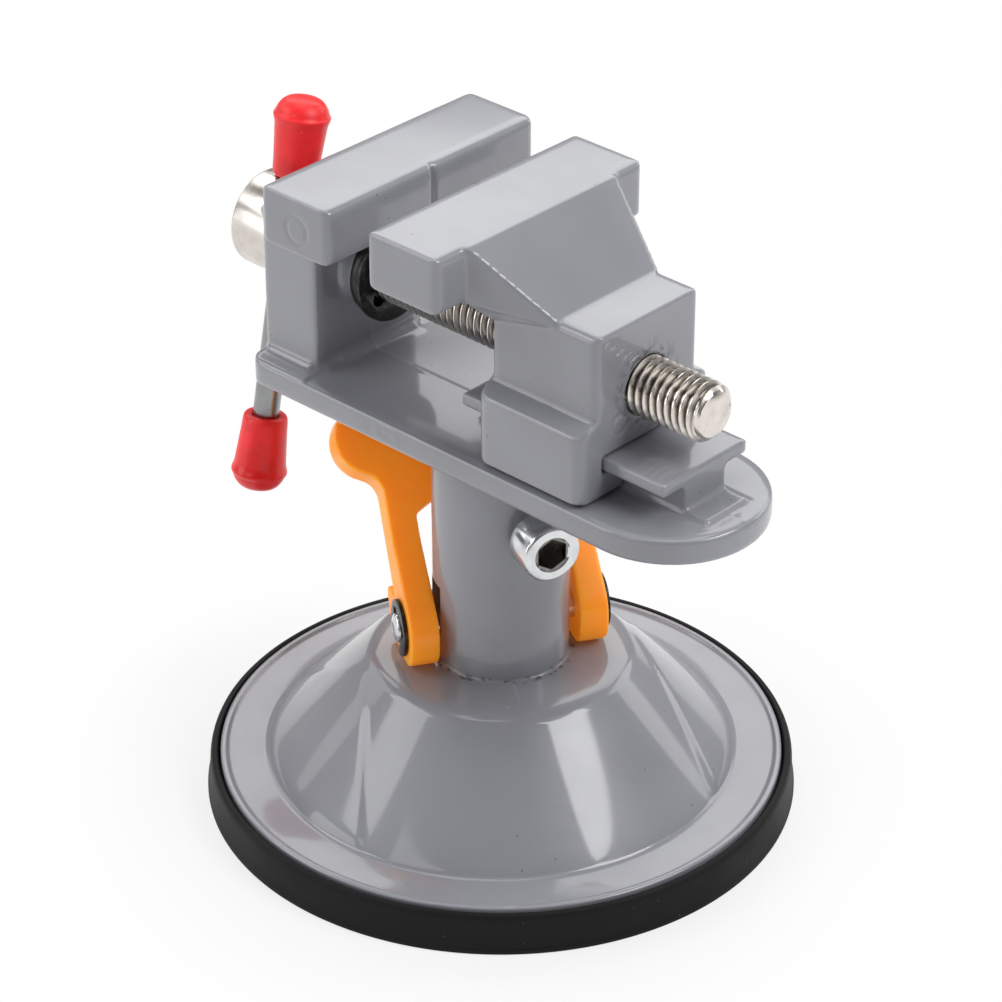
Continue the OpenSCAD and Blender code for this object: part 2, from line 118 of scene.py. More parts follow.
# The corner between the post and the shoulder, where grit settles in the paint.
FOOT_RADIUS = 12.2 * MM
FOOT_HEIGHT = 27.4 * MM
# Where the edge between the cone and its raised sides starts, and how it leans away.
SIDE_START = 23.1 * MM
SIDE_LEAN = 0.284
GRIT = (0.03, 0.03, 0.03)


# Sizes and colours that a user would change


def length(name, description, default, low, high):
    return FloatProperty(
        name=name, description=description, default=default, min=low, max=high, subtype="DISTANCE", unit="LENGTH"
    )


def colour(name, description, default):
    return FloatVectorProperty(
        name=name, description=description, default=default, size=3, min=0, max=1, subtype="COLOR"
    )


def share(name, description, default):
    return FloatProperty(name=name, description=description, default=default, min=0, max=1, subtype="FACTOR")


def bearing(name, description, degrees):
    return FloatProperty(
        name=name, description=description, default=radians(degrees), subtype="ANGLE", unit="ROTATION"
    )


class CastingProps(PropertyGroup):
    """The painted castings and the moulded lever."""

    cell: length("Skin cell", "Edge length of a cell of a casting's skin", 0.4 * MM, 0.2 * MM, 1 * MM)
    soften: IntProperty(
        name="Soften", description="Passes that round the edges under the paint", default=9, min=0, max=40
    )
    parting_ridge: length("Parting ridge", "Height of the ridge where the mould's halves meet", 0.12 * MM, 0, 0.4 * MM)
    draft: share("Draft", "How steeply flat faces fall away from the parting ridge", 0.02)
    face_groove: length("Face groove", "Depth of the groove down each gripping face", 0.25 * MM, 0, 0.8 * MM)
    pin_mark: length("Ejector mark", "Depth of the ring that an ejector pin leaves", 0.22 * MM, 0, 0.4 * MM)


class ScrewProps(PropertyGroup):
    """The threads of the screws."""

    pitch: length("Lead pitch", "Distance between the lead screw's threads", 1.5 * MM, 0.8 * MM, 3 * MM)
    depth: length("Thread depth", "Depth of the lead screw's thread", 0.86 * MM, 0.4 * MM, 1.5 * MM)
    steps: IntProperty(name="Steps", description="Steps in one turn of a thread", default=48, min=16, max=96)
    clamp_pitch: length("Clamp pitch", "Distance between the clamp screw's threads", 1 * MM, 0.5 * MM, 1.5 * MM)


class FinishProps(PropertyGroup):
    """Colours of the finishes."""

    paint: colour("Paint", "Gloss paint on the castings", (0.272, 0.276, 0.305))
    lever: colour("Lever", "Moulded plastic of the lever", (1.0, 0.30, 0.006))
    caps: colour("Caps", "Dipped vinyl of the bar's caps", (0.95, 0.011, 0.013))
    rubber: colour("Rubber", "Rubber of the suction cup", (0.005, 0.005, 0.0055))
    nickel: colour("Nickel", "Plating of the lead screw and its head", (0.80, 0.745, 0.69))
    zinc: colour("Zinc", "Plating of the pin, the bar and the clamp screw", (0.74, 0.75, 0.76))
    wear: share("Edge wear", "How far the paint is thinned along its edges", 0.35)
    glow: share("Lever glow", "Light that the lever gives off, standing in for light through its plastic", 0.26)


class StageProps(PropertyGroup):
    """Camera and light."""

    azimuth: bearing("Azimuth", "Camera's angle round the vise", 43.1)
    elevation: bearing("Elevation", "Camera's angle above the bench", 31.3)
    distance: length("Distance", "From the camera to the point that it looks at", 0.617, 0.2, 3)
    lens: FloatProperty(name="Lens", description="Focal length in millimetres", default=133.4, min=20, max=300)
    light: FloatProperty(
        name="Light", description="Power that each lamp takes its share of", default=4.0, min=0, unit="POWER"
    )


class ViseProps(PropertyGroup):
    """All the groups of properties."""

    casting: PointerProperty(type=CastingProps)
    screw: PointerProperty(type=ScrewProps)
    finish: PointerProperty(type=FinishProps)
    stage: PointerProperty(type=StageProps)


# Meshes


def mm(*lengths):
    """Lengths in millimetres, as metres."""
    return tuple(size * MM for size in lengths)


def added(bm, known):
    """The vertices that a mesh has gained."""
    return [v for v in bm.verts if v not in known]


def frame_on(origin, way):
    """A matrix whose Z axis runs along way, from origin."""
    return Matrix.Translation(origin) @ Vector((0, 0, 1)).rotation_difference(way).to_matrix().to_4x4()


def add_object(name, bm, smooth_angle=32):
    """Makes an object of a bmesh, with smooth faces and sharp edges past an angle."""
    for face in bm.faces:
        face.smooth = True
    mesh = bpy.data.meshes.new(name)
    bm.to_mesh(mesh)
    bm.free()
    if smooth_angle:
        mesh.set_sharp_from_angle(angle=radians(smooth_angle))
    obj = bpy.data.objects.new(name, mesh)
    bpy.context.scene.collection.objects.link(obj)
    return obj


def apply_modifiers(obj, smooth_angle=32):
    """Replaces an object's mesh by what its modifiers make of it."""
    bpy.context.view_layer.update()
    depsgraph = bpy.context.evaluated_depsgraph_get()
    mesh = bpy.data.meshes.new_from_object(obj.evaluated_get(depsgraph))
    obj.modifiers.clear()
    obj.data = mesh
    for polygon in mesh.polygons:
        polygon.use_smooth = True
    if smooth_angle:
        mesh.set_sharp_from_angle(angle=radians(smooth_angle))


def turned(bm, profile, matrix=Matrix.Identity(4), steps=96, segments=4):
    """Spins a profile of (radius, height, optional fillet) round Z, then places it with a matrix."""
    known = set(bm.verts)
    points = [bm.verts.new((p[0], 0, p[1])) for p in profile]
    edges = [bm.edges.new(pair) for pair in zip(points, points[1:])]
    if len(profile[0]) > 3:
        edges.append(bm.edges.new((points[-1], points[0])))
    for point, data in zip(points, profile):
        if len(data) > 2 and data[2] > 0:
            bmesh.ops.bevel(
                bm, geom=[point], offset=data[2], offset_type="OFFSET", segments=segments, profile=0.5,
                affect="VERTICES", clamp_overlap=True, material=-1,
            )
    wire = added(bm, known)
    wire_edges = list({e for v in wire for e in v.link_edges})
    bmesh.ops.spin(
        bm, geom=wire + wire_edges, cent=(0, 0, 0), axis=(0, 0, 1), dvec=(0, 0, 0), angle=2 * pi, steps=steps,
        use_merge=True, use_duplicate=False,
    )
    new = added(bm, known)
    bmesh.ops.remove_doubles(bm, verts=new, dist=1e-7)
    new = added(bm, known)
    faces = list({f for v in new for f in v.link_faces})
    bmesh.ops.recalc_face_normals(bm, faces=faces)
    bmesh.ops.transform(bm, matrix=matrix, verts=new)
    return new


def closed(profile):
    """Marks a profile as a ring that closes on itself."""
    first = tuple(profile[0]) + (0,) * (3 - len(profile[0]))
    return [first + (True,)] + list(profile[1:])


def rod(bm, radius, start, end, way, origin, steps=32):
    """A plain capped cylinder, used to cut holes."""
    matrix = frame_on(origin, way) @ Matrix.Translation((0, 0, (start + end) / 2))
    bmesh.ops.create_cone(
        bm, cap_ends=True, cap_tris=False, segments=steps, radius1=radius, radius2=radius, depth=end - start,
        matrix=matrix,
    )


def block(bm, low, high, matrix=Matrix.Identity(4)):
    """A box from its low corner to its high corner."""
    low, high = Vector(low), Vector(high)
    size = high - low
    place = Matrix.Translation((low + high) / 2) @ Matrix.Diagonal((*size, 1))
    return bmesh.ops.create_cube(bm, size=1, matrix=matrix @ place)["verts"]


def cut(obj, cutters, smooth_angle=32):
    """Cuts one object by others, which are used up."""
    for cutter in cutters:
        modifier = obj.modifiers.new("Cut", "BOOLEAN")
        modifier.operation = "DIFFERENCE"
        modifier.solver = "EXACT"
        modifier.object = cutter
    apply_modifiers(obj, smooth_angle)
    for cutter in cutters:
        bpy.data.objects.remove(cutter)


def solid_copy(node, name):
    """A merged copy of a CAD solid's mesh, as a new object."""
    bm = bmesh.new()
    bm.from_mesh(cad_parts[node].data)
    bmesh.ops.remove_doubles(bm, verts=bm.verts, dist=1e-6)
    return add_object(name, bm, 0)


def skinned(node, name, cell, passes):
    """A copy of a solid under a skin that rounds its edges, as thick paint or a mould does."""
    obj = solid_copy(node, name)
    remesh = obj.modifiers.new("Skin", "REMESH")
    remesh.mode = "VOXEL"
    remesh.voxel_size = cell * 1
    soften = obj.modifiers.new("Soften", "SMOOTH")
    soften.factor = 0.5
    soften.iterations = passes
    apply_modifiers(obj, 0)
    return obj


def mould(obj, move):
    """Moves each vertex of an object by what move(co, normal) returns, or leaves it for None."""
    mesh = obj.data
    normals = [n.vector.copy() for n in mesh.vertex_normals]
    for vertex, normal in zip(mesh.vertices, normals):
        shift = move(vertex.co, normal)
        if shift is not None:
            vertex.co = vertex.co + shift
    mesh.update()


def ramp(value, low, high):
    """0 below low, 1 above high, and smooth between them."""
    t = min(max((value - low) / (high - low), 0), 1)
    return t * t * (3 - 2 * t)


def dent(distance, width):
    """1 at a line, falling to 0 at width from it."""
    return 1 - ramp(abs(distance), 0, width)


def threaded(bm, pitch, depth, radius, start, end, steps, limit):
    """A right-hand thread along +Z. limit(z) is the largest radius at a height."""
    known = set(bm.verts)
    minor = radius - depth
    outline = [
        (minor, 0), (minor, 0.10), (radius - 0.16 * depth, 0.40), (radius, 0.46), (radius, 0.56),
        (radius - 0.16 * depth, 0.62), (minor, 0.92), (minor, 1),
    ]
    turns = int((end - start) / pitch) + 3
    low = start - 1.5 * pitch
    wire = [bm.verts.new((r, 0, low + part * pitch)) for r, part in outline]
    edges = [bm.edges.new(pair) for pair in zip(wire, wire[1:])]
    bmesh.ops.spin(
        bm, geom=wire + edges, cent=(0, 0, 0), axis=(0, 0, 1), dvec=(0, 0, pitch / steps), angle=2 * pi * turns,
        steps=steps * turns, use_merge=False, use_duplicate=False,
    )
    new = added(bm, known)
    bmesh.ops.remove_doubles(bm, verts=new, dist=2e-6)
    new = added(bm, known)
    for point in new:
        r = hypot(point.co.x, point.co.y)
        most = limit(point.co.z)
        if r > most:
            point.co.x *= most / r
            point.co.y *= most / r
    for height, way in ((start, -1), (end, 1)):
        geom = added(bm, known)
        geom += list({e for v in geom for e in v.link_edges}) + list({f for v in geom for f in v.link_faces})
        result = bmesh.ops.bisect_plane(
            bm, geom=geom, dist=1e-7, plane_co=(0, 0, height), plane_no=(0, 0, way), clear_outer=True,
        )
        rim = [g for g in result["geom_cut"] if isinstance(g, bmesh.types.BMEdge)]
        bmesh.ops.contextual_create(bm, geom=rim)
    new = added(bm, known)
    faces = list({f for v in new for f in v.link_faces})
    bmesh.ops.recalc_face_normals(bm, faces=faces)
    return new


def settle(obj, body, slot, finish, *nodes):
    """Gives a piece its finish and its body, and hides the solids it stands for."""
    obj.data.materials.clear()
    obj.data.materials.append(finish)
    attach(obj, body)
    if nodes:
        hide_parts(*nodes)
    return obj


def paint_node(node, finish):
    """Gives a CAD solid that stays in view its finish."""
    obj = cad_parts[node]
    obj.data.materials.clear()
    obj.data.materials.append(finish)


# Finishes


def group(name, inputs, outputs):
    """A shader node group with its sockets. Returns the tree and its two end nodes."""
    tree = bpy.data.node_groups.new(name, "ShaderNodeTree")
    kinds = {"value": "NodeSocketFloat", "vector": "NodeSocketVector", "colour": "NodeSocketColor"}
    for label, kind, default in inputs:
        socket = tree.interface.new_socket(label, in_out="INPUT", socket_type=kinds[kind])
        if default is not None:
            socket.default_value = default
    for label, kind in outputs:
        tree.interface.new_socket(label, in_out="OUTPUT", socket_type=kinds[kind])
    return tree, tree.nodes.new("NodeGroupInput"), tree.nodes.new("NodeGroupOutput")


def node(tree, kind, **values):
    """A shader node whose attributes and sockets are set by name."""
    made = tree.nodes.new(kind)
    for key, value in values.items():
        if hasattr(made, key):
            setattr(made, key, value)
        else:
            made.inputs[key].default_value = value
    return made


def math(tree, operation, a, b=0.0, clamp=False):
    """A Math node's output. a and b are numbers or sockets."""
    made = node(tree, "ShaderNodeMath", operation=operation, use_clamp=clamp)
    for socket, value in zip(made.inputs, (a, b)):
        if isinstance(value, (int, float)):
            socket.default_value = value
        else:
            tree.links.new(value, socket)
    return made.outputs[0]


def times(tree, a, b):
    return math(tree, "MULTIPLY", a, b)


def axis_distance(tree, apart):
    """Distance from the Z axis, from a Separate XYZ node."""
    squares = [times(tree, socket, socket) for socket in apart.outputs[:2]]
    return math(tree, "SQRT", math(tree, "ADD", *squares))


def remap(tree, value, low, high, to_low=0.0, to_high=1.0):
    """A smooth Map Range node's output."""
    made = node(tree, "ShaderNodeMapRange", interpolation_type="SMOOTHSTEP")
    tree.links.new(value, made.inputs["Value"])
    for label, number in (("From Min", low), ("From Max", high), ("To Min", to_low), ("To Max", to_high)):
        if isinstance(number, (int, float)):
            made.inputs[label].default_value = number
        else:
            tree.links.new(number, made.inputs[label])
    return made.outputs["Result"]


def blended(tree, mask, first, second):
    """A colour Mix node's output. first and second are colours or sockets."""
    made = node(tree, "ShaderNodeMix", data_type="RGBA")
    tree.links.new(mask, made.inputs[0])
    for socket, value in zip([s for s in made.inputs if s.type == "RGBA"], (first, second)):
        if hasattr(value, "is_linked"):
            tree.links.new(value, socket)
        else:
            socket.default_value = (*value, 1)
    return next(s for s in made.outputs if s.type == "RGBA")


def grain_group():
    """Noise between two limits, as a mask."""
    tree, start, end = group(
        "Grain",
        [
            ("Vector", "vector", None), ("Scale", "value", 500.0), ("Detail", "value", 3.0), ("Low", "value", 0.35),
            ("High", "value", 0.65),
        ],
        [("Mask", "value")],
    )
    noise = node(tree, "ShaderNodeTexNoise", noise_dimensions="3D")
    tree.links.new(start.outputs["Vector"], noise.inputs["Vector"])
    tree.links.new(start.outputs["Scale"], noise.inputs["Scale"])
    tree.links.new(start.outputs["Detail"], noise.inputs["Detail"])
    mask = remap(tree, noise.outputs["Fac"], start.outputs["Low"], start.outputs["High"])
    tree.links.new(mask, end.inputs["Mask"])
    return tree


def speck_group():
    """Rare small dots, such as grit caught in paint, as a mask."""
    tree, start, end = group(
        "Specks",
        [("Vector", "vector", None), ("Scale", "value", 400.0), ("Size", "value", 0.12), ("Rarity", "value", 0.8)],
        [("Mask", "value")],
    )
    cells = node(tree, "ShaderNodeTexVoronoi", feature="F1")
    tree.links.new(start.outputs["Vector"], cells.inputs["Vector"])
    tree.links.new(start.outputs["Scale"], cells.inputs["Scale"])
    apart = node(tree, "ShaderNodeSeparateColor")
    tree.links.new(cells.outputs["Color"], apart.inputs[0])
    chosen = math(tree, "GREATER_THAN", apart.outputs[0], start.outputs["Rarity"])
    near = remap(tree, cells.outputs["Distance"], start.outputs["Size"], 0.0)
    mask = math(tree, "MULTIPLY", chosen, near)
    tree.links.new(mask, end.inputs["Mask"])
    return tree


def edge_group():
    """Broken wear along edges, from the pointiness of the surface."""
    tree, start, end = group(
        "Edge Wear",
        [("Pointiness", "value", 0.5), ("Vector", "vector", None), ("Low", "value", 0.53), ("High", "value", 0.6)],
        [("Mask", "value")],
    )
    edge = remap(tree, start.outputs["Pointiness"], start.outputs["Low"], start.outputs["High"])
    noise = node(tree, "ShaderNodeTexNoise", noise_dimensions="3D", Scale=260.0, Detail=4.0)
    tree.links.new(start.outputs["Vector"], noise.inputs["Vector"])
    broken = remap(tree, noise.outputs["Fac"], 0.3, 0.6)
    mask = math(tree, "MULTIPLY", edge, broken)
    tree.links.new(mask, end.inputs["Mask"])
    return tree


def round_group():
    """Distance from the Z axis and rings about it, on a vector that a Mapping node has centred."""
    tree, start, end = group(
        "Turned Rings",
        [("Vector", "vector", None), ("Scale", "value", 9000.0)],
        [("Radius", "value"), ("Rings", "value"), ("Along", "value")],
    )
    apart = node(tree, "ShaderNodeSeparateXYZ")
    tree.links.new(start.outputs["Vector"], apart.inputs[0])
    radius = axis_distance(tree, apart)
    join = node(tree, "ShaderNodeCombineXYZ")
    tree.links.new(radius, join.inputs[0])
    tree.links.new(apart.outputs[2], join.inputs[1])
    noise = node(tree, "ShaderNodeTexNoise", noise_dimensions="3D", Detail=2.0)
    tree.links.new(join.outputs[0], noise.inputs["Vector"])
    tree.links.new(start.outputs["Scale"], noise.inputs["Scale"])
    tree.links.new(radius, end.inputs["Radius"])
    tree.links.new(noise.outputs["Fac"], end.inputs["Rings"])
    tree.links.new(apart.outputs[2], end.inputs["Along"])
    return tree


def shared(name):
    """A shared node group, made when it is first asked for."""
    makers = {"Grain": grain_group, "Specks": speck_group, "Edge Wear": edge_group, "Turned Rings": round_group}
    return bpy.data.node_groups.get(name) or makers[name]()


def use(tree, name, vector, **values):
    """Places a shared group in a material."""
    made = node(tree, "ShaderNodeGroup", node_tree=shared(name))
    tree.links.new(vector, made.inputs["Vector"])
    for key, value in values.items():
        made.inputs[key].default_value = value
    return made


def grain(tree, place, scale, detail, low, high):
    return use(tree, "Grain", place, Scale=scale, Detail=detail, Low=low, High=high).outputs["Mask"]


def specks(tree, place, scale, size, rarity):
    return use(tree, "Specks", place, Scale=scale, Size=size, Rarity=rarity).outputs["Mask"]


def material(name):
    """A new material. Returns it with its tree, its Principled BSDF and its object coordinates."""
    made = bpy.data.materials.new(name)
    made.use_nodes = True
    tree = made.node_tree
    shader = tree.nodes["Principled BSDF"]
    place = node(tree, "ShaderNodeTexCoord")
    return made, tree, shader, place.outputs["Object"]


def dress(tree, shader, tone, roughness, height, strength, distance):
    """Links a finish's colour, roughness and bump to its shader."""
    tree.links.new(tone, shader.inputs["Base Color"])
    tree.links.new(roughness, shader.inputs["Roughness"])
    made = node(tree, "ShaderNodeBump", Strength=strength, Distance=distance)
    tree.links.new(height, made.inputs["Height"])
    tree.links.new(made.outputs["Normal"], shader.inputs["Normal"])


def centred(tree, vector, origin, way):
    """Object coordinates whose origin and Z axis are a piece's own."""
    turn = Vector((0, 0, 1)).rotation_difference(way).to_euler()
    made = node(tree, "ShaderNodeMapping", vector_type="TEXTURE", Location=origin, Rotation=turn)
    tree.links.new(vector, made.inputs["Vector"])
    return made.outputs["Vector"]


def around_corners(tree, place):
    """A mask of the post's foot and of the rim of the lead screw's hole, where paint catches grit and chips."""
    apart = node(tree, "ShaderNodeSeparateXYZ")
    tree.links.new(place, apart.inputs[0])
    out = math(tree, "ABSOLUTE", math(tree, "SUBTRACT", axis_distance(tree, apart), FOOT_RADIUS))
    up = math(tree, "ABSOLUTE", math(tree, "SUBTRACT", apart.outputs[2], FOOT_HEIGHT))
    foot = remap(tree, math(tree, "ADD", out, up), 1.2 * MM, 0.4 * MM)
    hole = (-BLOCK_FRONT, -SCREW_AXIS.y, -SCREW_AXIS.z)
    local = node(tree, "ShaderNodeMapping", vector_type="POINT", Location=hole)
    tree.links.new(place, local.inputs["Vector"])
    off = node(tree, "ShaderNodeVectorMath", operation="LENGTH")
    tree.links.new(local.outputs["Vector"], off.inputs[0])
    chips = times(tree, remap(tree, off.outputs["Value"], 9 * MM, 5 * MM), 0.8)
    return times(tree, grain(tree, place, 900.0, 3.0, 0.5, 0.62), math(tree, "MAXIMUM", chips, foot))


def paint_finish():
    """Gloss grey paint on a casting: soft orange peel, specks of grit and thin edges."""
    name = "gloss_grey_paint"
    if name in bpy.data.materials:
        return bpy.data.materials[name]
    props = bpy.context.scene.vise.finish
    made, tree, shader, place = material(name)
    base = Vector(props.paint)
    tone = blended(tree, grain(tree, place, 42.0, 3.0, 0.3, 0.7), base * 0.93, base * 1.05)
    geometry = node(tree, "ShaderNodeNewGeometry")
    edge = use(tree, "Edge Wear", place, Low=0.515, High=0.58)
    tree.links.new(geometry.outputs["Pointiness"], edge.inputs["Pointiness"])
    tone = blended(tree, times(tree, edge.outputs["Mask"], props.wear), tone, base * 1.45)
    dark = specks(tree, place, 340.0, 0.1, 0.86)
    tone = blended(tree, times(tree, dark, 0.75), tone, GRIT)
    tone = blended(tree, times(tree, specks(tree, place, 360.0, 0.06, 0.95), 0.5), tone, (0.7, 0.7, 0.7))
    tone = blended(tree, times(tree, around_corners(tree, place), 0.75), tone, GRIT)
    smear = grain(tree, place, 120.0, 4.0, 0.35, 0.7)
    shader.inputs["Coat Weight"].default_value = 0.9
    shader.inputs["Coat Roughness"].default_value = 0.08
    height = math(tree, "ADD", grain(tree, place, 330.0, 1.0, 0.1, 0.9), times(tree, dark, 1.2))
    height = math(tree, "ADD", height, times(tree, grain(tree, place, 1100.0, 2.0, 0.2, 0.8), 0.22))
    dress(tree, shader, tone, remap(tree, smear, 0.0, 1.0, 0.36, 0.44), height, 0.85, 0.03 * MM)
    return made


def orange_finish():
    """Moulded orange plastic, a little translucent, with faint flow marks and a painted glow that stands in for light
    passing through it.
    """
    props = bpy.context.scene.vise.finish
    made, tree, shader, place = material("moulded_orange_plastic")
    base = Vector(props.lever)
    flow = grain(tree, place, 70.0, 2.0, 0.3, 0.7)
    tone = blended(tree, flow, base * 0.96, (base.x, base.y * 1.18, base.z * 1.6))
    tone = blended(tree, times(tree, specks(tree, place, 420.0, 0.06, 0.94), 0.6), tone, (0.16, 0.05, 0.01))
    satin = grain(tree, place, 300.0, 3.0, 0.3, 0.7)
    shader.inputs["Subsurface Weight"].default_value = 1.0
    shader.inputs["Subsurface Radius"].default_value = (1.0, 0.4, 0.06)
    shader.inputs["Subsurface Scale"].default_value = 5 * MM
    # Painted glow: the emission stands in for light that passes through the plastic.
    shader.inputs["Emission Color"].default_value = (1.0, 0.27, 0.02, 1)
    shader.inputs["Emission Strength"].default_value = props.glow
    dress(tree, shader, tone, remap(tree, satin, 0.0, 1.0, 0.36, 0.46), satin, 0.18, 0.03 * MM)
    return made


def vinyl_finish():
    """Dipped red vinyl: soft sheen, tiny pits and a little bloom."""
    props = bpy.context.scene.vise.finish
    made, tree, shader, place = material("dipped_red_vinyl")
    base = Vector(props.caps)
    cloud = grain(tree, place, 160.0, 3.0, 0.3, 0.7)
    tone = blended(tree, cloud, base * 0.86, (base.x * 1.1, base.y * 1.8, base.z * 1.8))
    tone = blended(tree, times(tree, specks(tree, place, 700.0, 0.12, 0.9), 0.55), tone, (0.9, 0.5, 0.5))
    pits = grain(tree, place, 800.0, 2.0, 0.3, 0.7)
    dress(tree, shader, tone, remap(tree, cloud, 0.0, 1.0, 0.30, 0.42), pits, 0.25, 0.05 * MM)
    return made


def rubber_finish():
    """Black rubber with a fine moulded grain and settled dust."""
    props = bpy.context.scene.vise.finish
    made, tree, shader, place = material("moulded_black_rubber")
    base = Vector(props.rubber)
    cloud = grain(tree, place, 60.0, 5.0, 0.35, 0.75)
    tone = blended(tree, cloud, base, base * 1.9)
    tone = blended(tree, times(tree, specks(tree, place, 620.0, 0.10, 0.82), 0.55), tone, (0.20, 0.20, 0.20))
    shader.inputs["Specular IOR Level"].default_value = 0.2
    fine = grain(tree, place, 1500.0, 3.0, 0.25, 0.75)
    dress(tree, shader, tone, remap(tree, cloud, 0.0, 1.0, 0.50, 0.66), fine, 0.35, 0.05 * MM)
    return made


def plated_finish(name, base, origin, way, recess_shade=None, rough=(0.18, 0.32), rings=7000.0):
    """Plated steel turned about an axis, with fine rings. The recess shade, when given, holds the radii where the
    painted shade of thread roots and sockets is full and where it ends, and the place along the axis where it stops."""
    made, tree, shader, place = material(name)
    base = Vector(base)
    turning = use(tree, "Turned Rings", centred(tree, place, origin, way), Scale=rings).outputs
    stain = grain(tree, place, 330.0, 4.0, 0.35, 0.75)
    tone = blended(tree, stain, base, base * 0.86)
    if recess_shade:
        full, shade_end, stop = recess_shade
        root = remap(tree, turning["Radius"], shade_end, full)
        root = times(tree, root, remap(tree, turning["Along"], stop, stop - 0.2 * MM))
        # Painted shade: a dark brown tone darkens the thread roots and the socket inside the given radius, short of the
        # stop.
        tone = blended(tree, times(tree, root, 0.85), tone, (0.13, 0.11, 0.09))
    shader.inputs["Metallic"].default_value = 1.0
    worn = math(tree, "ADD", times(tree, turning["Rings"], 0.5), times(tree, stain, 0.5))
    dress(tree, shader, tone, remap(tree, worn, 0.2, 0.8, *rough), turning["Rings"], 0.22, 0.02 * MM)
    return made


def black_finish():
    """Black oxide on spring steel, oiled, with bright scratches on its edges."""
    name = "black_oxide_steel"
    if name in bpy.data.materials:
        return bpy.data.materials[name]
    made, tree, shader, place = material(name)
    rub = grain(tree, place, 900.0, 4.0, 0.5, 0.75)
    tone = blended(tree, times(tree, rub, 0.5), (0.022, 0.021, 0.021), (0.12, 0.115, 0.11))
    shader.inputs["Metallic"].default_value = 0.6
    dress(tree, shader, tone, remap(tree, rub, 0.0, 1.0, 0.28, 0.42), rub, 0.2, 0.03 * MM)
    return made


def pressed_finish():
    """Bare pressed steel with a dull, slightly stained face."""
    made, tree, shader, place = material("pressed_bare_steel")
    stain = grain(tree, place, 140.0, 5.0, 0.35, 0.7)
    tone = blended(tree, stain, (0.50, 0.49, 0.47), (0.33, 0.31, 0.28))
    shader.inputs["Metallic"].default_value = 1.0
    dress(tree, shader, tone, remap(tree, stain, 0.0, 1.0, 0.35, 0.55), stain, 0.2, 0.03 * MM)
    return made


# Operators, one for each piece or group of like pieces


class VISE_OT_base_housing(Operator):
    """Turns the flange, cone and post, and cuts the pin's slots and the clamp's hole"""

    bl_idname = "vise.base_housing"
    bl_label = "Base Housing"

    def execute(self, context):
        bm = bmesh.new()
        slope = []
        for step in range(1, 30):
            down = step / 30
            swell = 1.15 * MM * (1 - down) ** 0.7
            slope.append(((21 + 19.3 * down) * MM + 0.69 * swell, (25.9 - 18.7 * down) * MM + 0.72 * swell))
        turned(bm, closed([
            mm(8.05, 46.8), (8.05 * MM, POST_TOP, 0.5 * MM), (11.6 * MM, POST_TOP, 0.9 * MM),
            mm(11.6, 27, 0.7), mm(18.9, 27, 0.4), mm(21, 26.85, 1), *slope,
            mm(40.3, 7.2, 0.7), mm(47, 7.15, 0.4), mm(47.4, 7.7, 0.3),
            mm(48.4, 7.7, 0.5), mm(48.4, 4.8, 0.3), mm(37.5, 4.8),
            mm(16.9, 24.2), mm(6.1, 24.2), mm(6.1, 46.8),
        ]), steps=400, segments=4)
        self.side_cores(bm)
        housing = add_object("base_housing_cast", bm)
        across = Matrix.Rotation(radians(PIN_HEADING), 4, "Z")
        slot = bmesh.new()
        rod(slot, SLOT_HALF, -20 * MM, 20 * MM, PIN_WAY, PIN_CENTRE)
        upper = bmesh.new()
        low = (-21 * MM, -SLOT_HALF * 0.999, PIN_CENTRE.z)
        block(upper, low, (21 * MM, SLOT_HALF * 0.999, SLOT_TOP), across)
        hole = bmesh.new()
        rod(hole, 3.05 * MM, 7 * MM, 20 * MM, CLAMP_WAY, Vector((0, 0, CLAMP_Z)))
        cut(housing, [
            add_object("slot_cut", slot, 0), add_object("upper_slot_cut", upper, 0), add_object("clamp_cut", hole, 0)
        ])
        settle(housing, "base", "grey_casting", paint_finish(), "base_housing")
        return {"FINISHED"}

    @staticmethod
    def side_cores(bm):
        """Raises the two sides of the cone, which the mould's side cores form."""
        across = Vector((-PIN_WAY.y, PIN_WAY.x, 0))
        norm = 1.04

        def beyond(co, side, end):
            return (co.dot(PIN_WAY) * side - SIDE_START - SIDE_LEAN * co.dot(across) * end) / norm

        bm.normal_update()
        for vertex in bm.verts:
            if not (7.3 * MM < vertex.co.z < 26.8 * MM and vertex.normal.z > 0.3):
                continue
            side = 1 if vertex.co.dot(PIN_WAY) > 0 else -1
            depth = min(beyond(vertex.co, side, end) for end in (-1, 1))
            lift = ramp(depth, -0.3 * MM, 0.9 * MM) * ramp(vertex.co.z, 7.3 * MM, 9 * MM)
            vertex.co += vertex.normal * lift * 0.32 * MM


